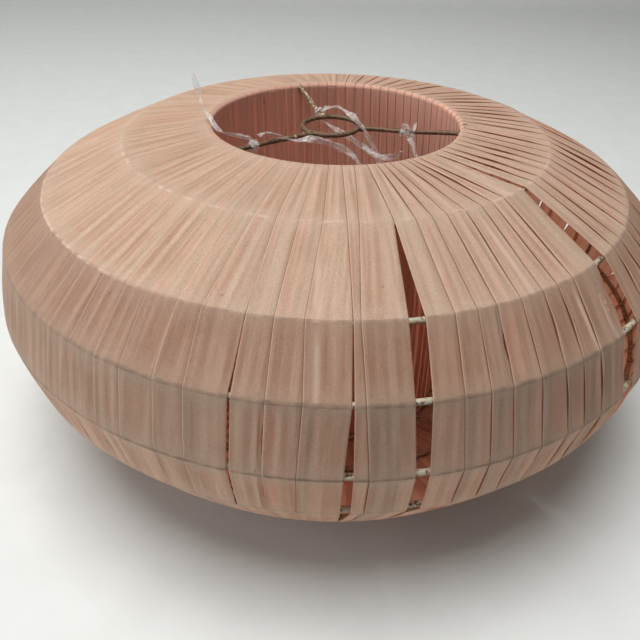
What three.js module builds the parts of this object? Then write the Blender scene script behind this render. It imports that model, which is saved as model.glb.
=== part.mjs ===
// Ribbon-wound pendant lampshade. A welded wire frame of nine hoops and six formed ribs carries a
// fabric ribbon that runs down over the hoops, round the bottom hoop and straight back up inside.
// A three-armed spider in the top opening holds the lampholder ring, and three clear film ties are
// knotted on its arms. Millimetres, +Z up, origin at the centre of the base.
import * as THREE from 'three';

// ---- Driving dimensions ----------------------------------------------------------------------

const HOOP_WIRE = 2;              // radius of the hoop wire
const RIB_WIRE = 1.5;             // radius of the rib wire
const ARM_WIRE = 1.7;             // radius of the spider arms
const RING_WIRE = 1.8;            // radius of the lampholder ring's wire
const TOUCH_GAP = 0.3;            // left between pieces that touch
const WINDING_GAP = 0.6;          // between a hoop and the ribbon over it, room for the facets
const WINDING_THICKNESS = 1.5;    // the wound cover, two or three layers of ribbon
const CLOSED_SEAM = 0.4;          // opening between two neighbouring lengths of winding

const BOTTOM_HOOP_HEIGHT = HOOP_WIRE + WINDING_GAP + WINDING_THICKNESS;

// Centrelines of the hoops, from the top opening down to the bottom opening.
const HOOPS = [
  { name: 'top_hoop', radius: 98.5, height: 241.5 },
  { name: 'upper_hoop_1', radius: 161, height: 233 },
  { name: 'upper_hoop_2', radius: 220.5, height: 206 },
  { name: 'upper_hoop_3', radius: 252, height: 177 },
  { name: 'girth_hoop', radius: 262, height: 134 },
  { name: 'lower_hoop_1', radius: 254, height: 97 },
  { name: 'lower_hoop_2', radius: 222, height: 48 },
  { name: 'lower_hoop_3', radius: 161, height: 25.5 },
  { name: 'bottom_hoop', radius: 107.5, height: BOTTOM_HOOP_HEIGHT },
];
const TOP_HOOP = HOOPS[0];
const GIRTH = HOOPS.findIndex((hoop) => hoop.name === 'girth_hoop');
const BOTTOM = HOOPS.length - 1;
const BOTTOM_HOOP = HOOPS[BOTTOM];

const RIB_COUNT = 6;
const FIRST_RIB_BEARING = 12;     // degrees from +X

const RING_RADIUS = 22;           // centreline, for a 40 mm lampholder thread
const RING_CENTRE = new THREE.Vector3(-3.4, -3.4, 238.9);   // the spider is bent a little off centre
const ARMS = [
  { name: 'spider_arm_left', outerBearing: -135.4, innerBearing: -130.7 },
  { name: 'spider_arm_right', outerBearing: -13.5, innerBearing: -11.4 },
  { name: 'spider_arm_back', outerBearing: 109.8, innerBearing: 107.6 },
];

// Seams between lengths of the outer winding. Four of them gape: their bearing in degrees and their
// opening in millimetres are given at each hoop, from the top one down.
const GAPING_SEAMS = [
  {
    bearings: [-101.6, -101.6, -101.6, -101.6, -101.6, -101.6, -101.6, -101.6, -101.6],
    openings: [0.4, 0.4, 0.4, 1.6, 1.6, 1.2, 0.4, 0.4, 0.4],
  },
  {
    bearings: [-87, -87, -86.8, -87, -87.3, -87.3, -87.6, -87.6, -87.6],
    openings: [0.4, 0.4, 0.4, 1.4, 5.4, 5.8, 0.8, 0.4, 0.4],
  },
  {
    bearings: [-77.3, -77.3, -78, -78.7, -78.5, -78.3, -79.4, -79.4, -79.4],
    openings: [0.4, 0.4, 9.3, 9.3, 7.9, 8, 1, 0.4, 0.4],
  },
  {
    bearings: [-46.8, -41, -42.3, -44.5, -44.2, -44.2, -44.2, -44.2, -44.2],
    openings: [0.4, 4.2, 12.4, 18, 12, 6, 1, 0.4, 0.4],
  },
];
const CLOSED_SEAM_COUNT = 8;      // evenly spaced over the rest of the way round
const STATION_ANGLE = 5.6;        // widest facet of the outer winding, degrees

const INNER_STATION_ANGLE = 7.5;  // widest facet of the inner winding, degrees
const INNER_WALL_TOP = 239.4;     // just under the spider arms

const FILM_RADIUS = 1.5;          // a film tie, crumpled to a strand
const KNOT_WIRE = 1.2;            // thickness of the loop that a tie makes round its arm

// Routes of the film ties' loose ends, from the knot outwards.
const FILM_ROUTES = {
  film_tie_left_outer: [
    [-60, -53, 245.3], [-66.6, -47, 244.1], [-74.2, -40, 242.6], [-83, -31, 241], [-89.5, -25, 243.4],
    [-93.2, -20.5, 247.4], [-96.4, -17.8, 250.6], [-99.2, -15.2, 254.4], [-101.7, -12.5, 259.3],
    [-103, -11, 265.4], [-104.7, -10, 272], [-105.9, -9, 278],
  ],
  film_tie_left_inner: [
    [-53.8, -52, 246.5], [-50, -49, 247.7], [-43.8, -45, 245.3], [-35.8, -42.5, 242.2],
    [-28.3, -41, 240], [-18.1, -40, 240.8], [-11.6, -39.5, 240.2], [-1.3, -39, 237.3],
    [7.6, -38.5, 232.8], [13.7, -38.5, 228.4], [17.6, -38.5, 224.3], [22, -39, 217], [25.5, -39.7, 208],
    [27.5, -40.5, 198.5],
  ],
  film_tie_back_upper: [
    [-9.6, 22.6, 244.4], [-6.4, 17, 246.2], [-3, 12.5, 248.2], [0.9, 7.4, 250.4], [5, 3, 250],
    [9.4, -2.6, 248.8], [13.2, -7.6, 247.9], [17.4, -12.6, 245.4], [21.6, -16.6, 241.6],
    [25.6, -19.6, 235.6], [29.4, -21.8, 229.4], [32.6, -23.4, 223.6], [35.6, -24.8, 215], [37.4, -26, 206],
  ],
  film_tie_back_lower: [
    [-11.4, 24, 234], [-8.4, 18.4, 234.2], [-4.3, 11.4, 234.6], [-0.2, 8, 232.8], [4.6, 4, 231.5],
    [8.7, 1, 229.8], [13.4, -3, 228.6], [18.2, -6, 226.6], [25.2, -10.6, 223.4], [31.5, -14.4, 220.8],
    [38.4, -19.4, 220.8], [43.2, -23.6, 222.6], [48, -27.4, 226], [50.4, -29.4, 229.4],
  ],
  film_tie_right_end: [
    [56.6, -20, 236.6], [59.1, -23, 231.5], [61.4, -25, 226.1], [63.6, -26.2, 220.8],
    [65.2, -27, 214], [66, -27.6, 207],
  ],
};
// Each knot's place as a fraction of its arm's length, from the hoop towards the ring.
const KNOTS = [
  { name: 'film_knot_left', arm: 'spider_arm_left', along: 0.22 },
  { name: 'film_knot_back', arm: 'spider_arm_back', along: 0.91 },
  { name: 'film_knot_right', arm: 'spider_arm_right', along: 0.52 },
];

// ---- Materials -------------------------------------------------------------------------------

const ribbon = new THREE.MeshStandardMaterial({ color: 0xc9a48e, roughness: 0.85, metalness: 0 });
const creamPaint = new THREE.MeshStandardMaterial({ color: 0xd8cfb4, roughness: 0.5, metalness: 0.1 });
const rustyWire = new THREE.MeshStandardMaterial({ color: 0x5b4128, roughness: 0.6, metalness: 0.6 });
const clearFilm = new THREE.MeshStandardMaterial({ color: 0xd9d2cc, roughness: 0.2, metalness: 0 });

// ---- Helpers ---------------------------------------------------------------------------------

const radians = THREE.MathUtils.degToRad;
const shade = new THREE.Group();

function add(name, geometry, material) {
  const mesh = new THREE.Mesh(geometry, material);
  mesh.name = name;
  shade.add(mesh);
  return mesh;
}

// Moves every vertex of a geometry to the point that place(x, y, z) gives for it.
function reshape(geometry, place) {
  const position = geometry.attributes.position;
  for (let i = 0; i < position.count; i += 1) {
    const point = place(position.getX(i), position.getY(i), position.getZ(i));
    position.setXYZ(i, point.x, point.y, point.z);
  }
  geometry.computeVertexNormals();
  return geometry;
}

// A point in cylindrical coordinates, the bearing in radians.
function polar(radius, bearing, height) {
  return new THREE.Vector3(radius * Math.cos(bearing), radius * Math.sin(bearing), height);
}

// Outward normal, in the (radius, height) half-plane, of the straight run from hoop i to hoop i + 1.
function runNormal(i) {
  const from = HOOPS[i];
  const to = HOOPS[i + 1];
  return new THREE.Vector2(from.height - to.height, to.radius - from.radius).normalize();
}

// The mitre at hoop i: adding it times an offset to the hoop's centre gives parallel runs.
function mitre(i) {
  const before = runNormal(Math.max(i - 1, 0));
  const after = runNormal(Math.min(i, HOOPS.length - 2));
  const middle = before.clone().add(after).normalize();
  return middle.divideScalar(middle.dot(after));
}

// A point beside a hoop's centre, in the (radius, height) half-plane.
function beside(hoop, direction, offset) {
  return new THREE.Vector2(hoop.radius + direction.x * offset, hoop.height + direction.y * offset);
}

// ---- Hoops -----------------------------------------------------------------------------------

// A wire ring with a many-sided section: one flat side of the section faces +Z.
function wireRing(radius, wire, sides, facets) {
  const section = [];
  for (let i = 0; i <= sides; i += 1) {
    const angle = ((i + 0.5) * 2 * Math.PI) / sides + Math.PI / 2;
    section.push(new THREE.Vector2(radius + wire * Math.cos(angle), wire * Math.sin(angle)));
  }
  section[sides].copy(section[0]);
  return new THREE.LatheGeometry(section, facets).rotateX(Math.PI / 2);
}

const HOOP_SIDES = 6;
for (const hoop of HOOPS) {
  const facets = hoop.radius < 120 ? 36 : 48;
  const ring = add(hoop.name, wireRing(hoop.radius, HOOP_WIRE, HOOP_SIDES, facets), creamPaint);
  ring.position.z = hoop.height;
}

// ---- Ribs ------------------------------------------------------------------------------------

// One wire bent to the frame's outline, welded to the inner side of every hoop.
function ribGeometry(bearing) {
  const runs = HOOPS.length - 1;
  const offset = -(HOOP_WIRE + TOUCH_GAP + RIB_WIRE);
  const across = new THREE.Vector3(-Math.sin(bearing), Math.cos(bearing), 0);
  const bar = new THREE.CylinderGeometry(RIB_WIRE, RIB_WIRE, runs, 6, runs);
  return reshape(bar, (x, y, z) => {
    const index = runs - Math.round(y + runs / 2);
    const direction = mitre(index);
    const point = beside(HOOPS[index], direction, offset + z);
    return polar(point.x, bearing, point.y).addScaledVector(across, x);
  });
}

for (let i = 0; i < RIB_COUNT; i += 1) {
  const bearing = radians(FIRST_RIB_BEARING + (360 / RIB_COUNT) * i);
  add(`rib_${i + 1}`, ribGeometry(bearing), creamPaint);
}

// ---- Spider ----------------------------------------------------------------------------------

const lampholderRing = add('lampholder_ring', wireRing(RING_RADIUS, RING_WIRE, 8, 32), rustyWire);
lampholderRing.position.copy(RING_CENTRE);

const HOOP_FACET_SAG = 0.4;       // how far a hoop's flat facets stand inside its true circle
const armEnds = {};
for (const arm of ARMS) {
  const outerRadius = TOP_HOOP.radius - HOOP_WIRE - TOUCH_GAP - HOOP_FACET_SAG;
  const innerRadius = RING_RADIUS + RING_WIRE + TOUCH_GAP;
  const outer = polar(outerRadius, radians(arm.outerBearing), TOP_HOOP.height);
  const inner = polar(innerRadius, radians(arm.innerBearing), 0).add(RING_CENTRE);
  armEnds[arm.name] = { outer, inner };
  const span = inner.clone().sub(outer);
  const rod = new THREE.CylinderGeometry(ARM_WIRE, ARM_WIRE, span.length(), 10);
  const mesh = add(arm.name, rod, rustyWire);
  mesh.position.copy(outer).addScaledVector(span, 0.5);
  mesh.quaternion.setFromUnitVectors(new THREE.Vector3(0, 1, 0), span.normalize());
}

// ---- Outer winding ---------------------------------------------------------------------------

function closedSeam(bearing) {
  return {
    bearings: HOOPS.map(() => bearing),
    openings: HOOPS.map(() => CLOSED_SEAM),
  };
}

// The seams in order of bearing, the first one again at the end, a full turn later.
function allSeams() {
  const first = GAPING_SEAMS[0];
  const last = GAPING_SEAMS[GAPING_SEAMS.length - 1];
  const start = last.bearings[GIRTH];
  const step = (first.bearings[GIRTH] + 360 - start) / (CLOSED_SEAM_COUNT + 1);
  const seams = [...GAPING_SEAMS];
  for (let i = 1; i <= CLOSED_SEAM_COUNT; i += 1) {
    seams.push(closedSeam(start + step * i));
  }
  seams.push({ bearings: first.bearings.map((b) => b + 360), openings: first.openings });
  return seams;
}

// The bearing of a seam's edge at a hoop, in radians; side is +1 for the edge further round.
function seamEdge(seam, index, side) {
  const half = seam.openings[index] / 2 / HOOPS[index].radius;
  return radians(seam.bearings[index]) + side * half;
}

// Each length of the cover is made in two, below and above the girth hoop. A station of it is at a
// hoop, and it says which way the cover's thickness points there, how far inside the hoop it
// stands and how far up it is moved.
function station(index, direction, inset = 0, lift = 0) {
  return { index, direction, inset, lift };
}

const DOWN = new THREE.Vector2(0, -1);
const RIM_LIP = new THREE.Vector2(Math.cos(radians(120)), Math.sin(radians(120)));
const FLANGE_WIDTH = 3.2;         // the flat that the shade stands on, inside the bottom hoop

// From the flange up to the girth.
const LOWER_COVER = [station(BOTTOM, DOWN, FLANGE_WIDTH), station(BOTTOM, DOWN)];
for (let i = BOTTOM; i > GIRTH; i -= 1) {
  LOWER_COVER.push(station(i, mitre(i)));
}
LOWER_COVER.push(station(GIRTH, mitre(GIRTH), 0, -CLOSED_SEAM / 2));

// From the girth up to the rim.
const UPPER_COVER = [station(GIRTH, mitre(GIRTH), 0, CLOSED_SEAM / 2)];
for (let i = GIRTH - 1; i >= 0; i -= 1) {
  UPPER_COVER.push(station(i, mitre(i)));
}
UPPER_COVER.push(station(0, RIM_LIP));

function outerPanelGeometry(left, right, cover) {
  const rows = cover.length - 1;
  const width = right.bearings[0] - left.bearings[0];
  const columns = Math.max(2, Math.ceil(width / STATION_ANGLE));
  const sheet = new THREE.BoxGeometry(columns, rows, 1, columns, rows, 1);
  return reshape(sheet, (x, y, z) => {
    const place = cover[Math.round(y + rows / 2)];
    const from = seamEdge(left, place.index, 1);
    const to = seamEdge(right, place.index, -1);
    const bearing = from + (to - from) * (x / columns + 0.5);
    const offset = HOOP_WIRE + WINDING_GAP + (z + 0.5) * WINDING_THICKNESS;
    const point = beside(HOOPS[place.index], place.direction, offset);
    return polar(point.x - place.inset, bearing, point.y + place.lift);
  });
}

const seams = allSeams();
for (let i = 0; i + 1 < seams.length; i += 1) {
  const upper = outerPanelGeometry(seams[i], seams[i + 1], UPPER_COVER);
  const lower = outerPanelGeometry(seams[i], seams[i + 1], LOWER_COVER);
  add(`outer_winding_${i + 1}_upper`, upper, ribbon);
  add(`outer_winding_${i + 1}_lower`, lower, ribbon);
}

// ---- Inner winding ---------------------------------------------------------------------------

// The ribbon's straight runs back up to the top hoop, a slightly tapered wall round the lamp. Each
// panel stands behind two lengths of the outer winding.
function innerPanelGeometry(left, right) {
  const reach = HOOP_WIRE + WINDING_GAP;
  const bottomRadius = BOTTOM_HOOP.radius - reach;
  const topRadius = TOP_HOOP.radius - reach;
  const bottom = WINDING_THICKNESS + TOUCH_GAP;
  const half = CLOSED_SEAM / 2 / TOP_HOOP.radius;
  const from = radians(left.bearings[0]) + half;
  const to = radians(right.bearings[0]) - half;
  const columns = Math.ceil((to - from) / radians(INNER_STATION_ANGLE));
  const sheet = new THREE.BoxGeometry(columns, 1, 1, columns, 1, 1);
  return reshape(sheet, (x, y, z) => {
    const up = y + 0.5;
    const bearing = from + (to - from) * (x / columns + 0.5);
    const wall = THREE.MathUtils.lerp(bottomRadius, topRadius, up);
    const radius = wall - (0.5 - z) * WINDING_THICKNESS;
    return polar(radius, bearing, THREE.MathUtils.lerp(bottom, INNER_WALL_TOP, up));
  });
}

const LENGTHS_PER_PANEL = 2;
for (let i = 0; i + LENGTHS_PER_PANEL < seams.length; i += LENGTHS_PER_PANEL) {
  const panel = innerPanelGeometry(seams[i], seams[i + LENGTHS_PER_PANEL]);
  add(`inner_winding_${i / LENGTHS_PER_PANEL + 1}`, panel, ribbon);
}

// ---- Film ties -------------------------------------------------------------------------------

const STRAND_SIDES = 8;
const STRAND_STEP = 2.5;          // strand diameters between sections
for (const [name, route] of Object.entries(FILM_ROUTES)) {
  const path = new THREE.CatmullRomCurve3(route.map((point) => new THREE.Vector3(...point)));
  const section = new THREE.Shape();
  for (let i = 0; i < STRAND_SIDES; i += 1) {
    const angle = (i * 2 * Math.PI) / STRAND_SIDES;
    const corner = [FILM_RADIUS * Math.cos(angle), FILM_RADIUS * Math.sin(angle)];
    if (i === 0) {
      section.moveTo(...corner);
    } else {
      section.lineTo(...corner);
    }
  }
  const steps = Math.ceil(path.getLength() / (2 * FILM_RADIUS * STRAND_STEP));
  const strand = new THREE.ExtrudeGeometry(section, { steps, bevelEnabled: false, extrudePath: path });
  add(name, strand, clearFilm);
}

for (const knot of KNOTS) {
  const { outer, inner } = armEnds[knot.arm];
  const span = inner.clone().sub(outer);
  const loop = new THREE.TorusGeometry(ARM_WIRE + TOUCH_GAP + KNOT_WIRE, KNOT_WIRE, 8, 12);
  const mesh = add(knot.name, loop, clearFilm);
  mesh.position.copy(outer).addScaledVector(span, knot.along);
  mesh.quaternion.setFromUnitVectors(new THREE.Vector3(0, 0, 1), span.normalize());
}

export default shade;
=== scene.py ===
"""Looks of the ribbon-wound pendant lampshade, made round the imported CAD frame. Metres, +Z up."""

import math

import bpy
import numpy as np
from mathutils import Matrix, Vector
from numpy.linalg import norm


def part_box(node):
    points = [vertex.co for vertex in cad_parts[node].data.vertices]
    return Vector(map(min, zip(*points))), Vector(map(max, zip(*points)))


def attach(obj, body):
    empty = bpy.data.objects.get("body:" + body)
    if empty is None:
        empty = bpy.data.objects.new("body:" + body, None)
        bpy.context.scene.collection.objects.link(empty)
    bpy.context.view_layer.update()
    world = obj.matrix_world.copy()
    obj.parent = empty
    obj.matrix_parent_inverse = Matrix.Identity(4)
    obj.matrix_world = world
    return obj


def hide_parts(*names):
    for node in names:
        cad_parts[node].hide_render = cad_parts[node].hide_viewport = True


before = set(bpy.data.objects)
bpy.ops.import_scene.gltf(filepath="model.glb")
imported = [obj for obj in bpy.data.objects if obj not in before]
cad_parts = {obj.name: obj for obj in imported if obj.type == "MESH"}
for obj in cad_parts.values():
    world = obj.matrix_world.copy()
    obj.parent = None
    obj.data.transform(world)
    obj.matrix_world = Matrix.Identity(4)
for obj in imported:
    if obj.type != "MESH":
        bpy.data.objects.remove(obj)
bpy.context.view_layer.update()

# ---- Driving dimensions ----

MM = 0.001
MM_PER_METRE = 1000
BODY = "root"

HOOP_NAMES = [
    "top_hoop",
    *(f"upper_hoop_{n}" for n in (1, 2, 3)),
    "girth_hoop",
    *(f"lower_hoop_{n}" for n in (1, 2, 3)),
    "bottom_hoop",
]
HOOP_COUNT = len(HOOP_NAMES)
GIRTH = HOOP_NAMES.index("girth_hoop")
BOTTOM = HOOP_COUNT - 1  # the bottom hoop, and the run from there back up inside
HOOP_WIRE = 2.0 * MM  # radius of the hoop wire
RIB_WIRE = 1.5 * MM  # radius of the rib wire
ARM_WIRE = 1.7 * MM  # radius of the spider arms
RING_WIRE = 1.8 * MM  # radius of the lampholder ring's wire
RIB_COUNT = 6

RIBBON_WIDTH = 25 * MM
RIBBON_THICKNESS = 0.18 * MM
SELVAGE_THICKNESS = 0.34 * MM  # the woven edge is thicker
LAYER_STEP = 0.42 * MM  # from one turn to the turn over it
TOP_LAYER = 1.15 * MM  # the uppermost turn above the wire
TURNS = [3, 2, 8, 7, 7, 7, 7, 7, 7, 7, 7, 7]  # turns of ribbon in each length of winding

# How wide the ribbon lies at each hoop, where it is gathered towards the two openings.
GATHERED_WIDTHS = np.array([14, 20, 25, 25, 25, 25, 24, 20, 15]) * MM

FILM_DIAMETER = 3.0 * MM
# Routes of the film ties' loose ends in millimetres, from the knot outwards.
FILM_ROUTES = {
    "film_tie_left_outer": [
        (-60, -53, 245.3), (-66.6, -47, 244.1), (-74.2, -40, 242.6), (-83, -31, 241),
        (-89.5, -25, 243.4), (-93.2, -20.5, 247.4), (-96.4, -17.8, 250.6), (-99.2, -15.2, 254.4),
        (-101.7, -12.5, 259.3), (-103, -11, 265.4), (-104.7, -10, 272), (-105.9, -9, 278),
    ],
    "film_tie_left_inner": [
        (-53.8, -52, 246.5), (-50, -49, 247.7), (-43.8, -45, 245.3), (-35.8, -42.5, 242.2),
        (-28.3, -41, 240), (-18.1, -40, 240.8), (-11.6, -39.5, 240.2), (-1.3, -39, 237.3),
        (7.6, -38.5, 232.8), (13.7, -38.5, 228.4), (17.6, -38.5, 224.3), (22, -39, 217),
        (25.5, -39.7, 208), (27.5, -40.5, 198.5),
    ],
    "film_tie_back_upper": [
        (-9.6, 22.6, 244.4), (-6.4, 17, 246.2), (-3, 12.5, 248.2), (0.9, 7.4, 250.4),
        (5, 3, 250), (9.4, -2.6, 248.8), (13.2, -7.6, 247.9), (17.4, -12.6, 245.4),
        (21.6, -16.6, 241.6), (25.6, -19.6, 235.6), (29.4, -21.8, 229.4), (32.6, -23.4, 223.6),
        (35.6, -24.8, 215), (37.4, -26, 206),
    ],
    "film_tie_back_lower": [
        (-11.4, 24, 234), (-8.4, 18.4, 234.2), (-4.3, 11.4, 234.6), (-0.2, 8, 232.8),
        (4.6, 4, 231.5), (8.7, 1, 229.8), (13.4, -3, 228.6), (18.2, -6, 226.6),
        (25.2, -10.6, 223.4), (31.5, -14.4, 220.8), (38.4, -19.4, 220.8), (43.2, -23.6, 222.6),
        (48, -27.4, 226), (50.4, -29.4, 229.4),
    ],
    "film_tie_right_end": [
        (56.6, -20, 236.6), (59.1, -23, 231.5), (61.4, -25, 226.1), (63.6, -26.2, 220.8),
        (65.2, -27, 214), (66, -27.6, 207),
    ],
}
# Each knot: its arm and the ties that leave it.
FILM_KNOTS = {
    "film_knot_left": ("spider_arm_left", ["film_tie_left_outer", "film_tie_left_inner"]),
    "film_knot_back": ("spider_arm_back", ["film_tie_back_upper", "film_tie_back_lower"]),
    "film_knot_right": ("spider_arm_right", ["film_tie_right_end"]),
}
# How bulky each knot is, over a plain tight one.
KNOT_BULK = {"film_knot_left": 1.0, "film_knot_back": 1.0, "film_knot_right": 2.3}
OPENED_OUT = {"film_tie_right_end": 1.25}  # a tie wider than the rest, and by how much

# ---- Camera ----

CAMERA_PLACE = (0, -0.49265, 0.4016)
CAMERA_PAN = 1.0754  # degrees about the vertical
CAMERA_TILT = 54.596  # degrees up from looking straight down
CAMERA_ROLL = 1.0214
CAMERA_LENS = 35.747  # focal length in millimetres
CAMERA_SENSOR = 36  # width in millimetres
CAMERA_CLIP = (0.01, 20)


def add_object(name, data):
    added = bpy.data.objects.new(name, data)
    bpy.context.scene.collection.objects.link(added)
    return added


def make_camera():
    data = bpy.data.cameras.new("camera")
    data.lens = CAMERA_LENS
    data.sensor_width = CAMERA_SENSOR
    data.clip_start, data.clip_end = CAMERA_CLIP
    camera = add_object("camera", data)
    turn = Matrix.Rotation(math.radians(CAMERA_PAN), 4, "Z")
    tilt = Matrix.Rotation(math.radians(CAMERA_TILT), 4, "X")
    roll = Matrix.Rotation(math.radians(CAMERA_ROLL), 4, "Z")
    camera.matrix_world = Matrix.Translation(CAMERA_PLACE) @ turn @ tilt @ roll
    bpy.context.scene.camera = camera


# ---- Shader helpers ----


class Shader:
    """A material's node tree, with one short call for each kind of node."""

    def __init__(self, name):
        self.material = bpy.data.materials.new(name)
        self.material.use_nodes = True
        self.tree = self.material.node_tree
        self.tree.nodes.clear()
        self.output = self.tree.nodes.new("ShaderNodeOutputMaterial")

    def node(self, kind, **values):
        """A new node; each value goes to the property or the input of that name."""
        node = self.tree.nodes.new("ShaderNode" + kind)
        for name, value in values.items():
            label = name.replace("_", " ")
            if label in node.inputs:
                self.feed(value, node.inputs[label])
            else:
                setattr(node, name, value)
        return node

    def feed(self, value, socket):
        if isinstance(value, bpy.types.NodeSocket):
            self.tree.links.new(value, socket)
        else:
            socket.default_value = value

    def fill(self, node, *values):
        """Values for a node's first inputs; its first output."""
        for value, socket in zip(values, node.inputs):
            self.feed(value, socket)
        return node.outputs[0]

    def attribute(self, name):
        return self.node("Attribute", attribute_name=name).outputs["Fac"]

    def math(self, operation, *values):
        return self.fill(self.node("Math", operation=operation), *values)

    def times(self, product, *values):
        for value in values:
            product = self.math("MULTIPLY", product, value)
        return product

    def step(self, value, low, high, to_low=0.0, to_high=1.0):
        """A smooth step of value, from to_low at low to to_high at high."""
        node = self.node("MapRange", interpolation_type="SMOOTHSTEP")
        return self.fill(node, value, low, high, to_low, to_high)

    def vector(self, x, y, z=0.0):
        return self.fill(self.node("CombineXYZ"), x, y, z)

    def noise(self, vector, scale, detail=2.0, roughness=0.5):
        node = self.node("TexNoise", Vector=vector, Scale=scale, Detail=detail, Roughness=roughness)
        return node.outputs["Fac"]

    def mix(self, factor, first, second, blend="MIX"):
        """Two colours mixed."""
        node = self.node("Mix", data_type="RGBA", blend_type=blend)
        self.feed(factor, node.inputs[0])
        self.feed(colour(first), node.inputs[6])
        self.feed(colour(second), node.inputs[7])
        return node.outputs[2]

    def tint(self, factor, base, tint):
        """A colour multiplied by a tint, as far as the factor goes."""
        return self.mix(factor, base, tint, blend="MULTIPLY")

    def mix_surfaces(self, factor, first, second):
        node = self.node("MixShader")
        return self.fill(node, factor, first.outputs[0], second.outputs[0])

    def bump(self, height, distance, strength):
        node = self.node("Bump", Strength=strength, Distance=distance, Height=height)
        return node.outputs["Normal"]

    def place(self):
        """The point in the object, in metres."""
        return self.node("TexCoord").outputs["Object"]

    def finish(self, surface):
        self.tree.links.new(surface, self.output.inputs["Surface"])
        return self.material


def colour(value):
    """A colour for a socket: linear red, green and blue with an alpha, or a socket as it is."""
    if isinstance(value, tuple) and len(value) == 3:
        return (*value, 1.0)
    return value


# ---- Mesh helpers ----


def add_mesh(name, points, faces, material, flat_faces=0):
    """A mesh object in the scene. Its last flat_faces faces are shaded flat."""
    mesh = bpy.data.meshes.new(name)
    mesh.from_pydata(np.asarray(points).reshape(-1, 3).tolist(), [], faces)
    smooth = [True] * (len(faces) - flat_faces) + [False] * flat_faces
    mesh.polygons.foreach_set("use_smooth", smooth)
    mesh.materials.append(material)
    mesh.update()
    return add_object(name, mesh)


def make_object(name, points, faces, material, slot, attributes=None, flat_faces=0):
    """A mesh object of the part, riding on its body, with values for its points."""
    piece = add_mesh(name, points, faces, material, flat_faces)
    for key, values in (attributes or {}).items():
        layer = piece.data.attributes.new(key, "FLOAT", "POINT")
        layer.data.foreach_set("value", np.asarray(values, np.float32).ravel())
    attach(piece, BODY)
    return piece


def make_single(node, kind, shape, material, slot):
    """A mesh object that takes the place of one CAD node; shape is its points and faces."""
    piece = make_object(f"{node}_{kind}", *shape, material, slot)
    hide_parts(node)
    return piece


def grid_faces(rows, columns, wrap_rows=False, wrap_columns=False):
    """Quads over a grid of points that is stored row by row."""
    faces = []
    for r in range(rows if wrap_rows else rows - 1):
        here = r * columns
        there = ((r + 1) % rows) * columns
        for c in range(columns if wrap_columns else columns - 1):
            d = (c + 1) % columns
            faces.append((here + c, here + d, there + d, there + c))
    return faces


def sweep(path, radii, sides, closed=False, squash=1.0, twist=0.0):
    """A tube's points and faces along a path. Its section is an ellipse: squash is its short side
    over its long one, and twist the whole turn that it makes, in radians, or one for each point.
    The radii are one value, one for each point, or one for each point and corner."""
    path = np.asarray(path, float)
    count = len(path)
    radii = np.asarray(radii, float)
    if radii.ndim < 2:
        radii = np.broadcast_to(radii.reshape(-1, 1), (count, sides))
    squash = np.broadcast_to(squash, count)
    if np.ndim(twist) == 0:
        twist = np.linspace(0, twist, count)
    if closed:
        tangents = np.roll(path, -1, axis=0) - np.roll(path, 1, axis=0)
    else:
        tangents = np.gradient(path, axis=0)
    tangents /= norm(tangents, axis=1)[:, None]
    side = np.cross(tangents[0], (0, 0, 1))
    if norm(side) < 0.1:
        side = np.cross(tangents[0], (1, 0, 0))
    angles = np.arange(sides) * math.tau / sides
    rings = []
    for i in range(count):
        side = side - tangents[i] * (side @ tangents[i])
        side /= norm(side)
        up = np.cross(tangents[i], side)
        across = math.cos(twist[i]) * side + math.sin(twist[i]) * up
        over = math.cos(twist[i]) * up - math.sin(twist[i]) * side
        ring = np.outer(np.cos(angles), across) + np.outer(np.sin(angles), over) * squash[i]
        rings.append(path[i] + ring * radii[i][:, None])
    points = np.concatenate(rings)
    faces = grid_faces(count, sides, wrap_rows=closed, wrap_columns=True)
    if not closed:
        last = (count - 1) * sides
        faces.append(tuple(reversed(range(sides))))
        faces.append(tuple(range(last, last + sides)))
    return points, faces


def spline(points, steps):
    """A smooth line through the points (Catmull-Rom), with so many steps between neighbours."""
    p = np.asarray(points, float)
    p = np.vstack([2 * p[0] - p[1], p, 2 * p[-1] - p[-2]])
    line = []
    for i in range(1, len(p) - 2):
        for t in np.arange(steps) / steps:
            a = 2 * p[i]
            b = (p[i + 1] - p[i - 1]) * t
            c = (2 * p[i - 1] - 5 * p[i] + 4 * p[i + 1] - p[i + 2]) * t**2
            d = (3 * p[i] - p[i - 1] - 3 * p[i + 1] + p[i + 2]) * t**3
            line.append((a + b + c + d) / 2)
    line.append(p[-2])
    return np.array(line)


def polar(radius, bearing, height):
    """Points in cylindrical coordinates, the bearing in radians."""
    radius, bearing, height = np.broadcast_arrays(radius, bearing, height)
    return np.stack([radius * np.cos(bearing), radius * np.sin(bearing), height], axis=-1)


def wrapped(angle):
    """An angle within half a turn of zero."""
    return (angle + math.pi) % math.tau - math.pi


def smooth_step(value, low, high):
    t = np.clip((value - low) / (high - low), 0, 1)
    return t * t * (3 - 2 * t)


# ---- Places read from the frame ----


def node_points(node):
    return np.array([v.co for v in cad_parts[node].data.vertices], float)


def hoop_circle(name):
    """Radius and height of a hoop's centreline."""
    low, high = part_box(name)
    return (high.x - low.x) / 2 - HOOP_WIRE, (high.z + low.z) / 2


def rod_ends(node):
    """The middle of each end of a straight rod: the end by the hoop first, then the inner one."""
    points = node_points(node)
    middle = points.mean(0)
    axis = np.linalg.svd(points - middle)[2][0]
    along = (points - middle) @ axis
    ends = [middle + axis * along.min(), middle + axis * along.max()]
    ends.sort(key=lambda p: -np.hypot(p[0], p[1]))
    return ends


HOOP_R, HOOP_Z = np.array([hoop_circle(name) for name in HOOP_NAMES]).T
WINDING_REACH = 6.0 * MM  # a winding's corners lie this near the hoop's centre
LENGTHS_PER_PANEL = 2  # lengths of ribbon to each CAD panel of the wall inside


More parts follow.
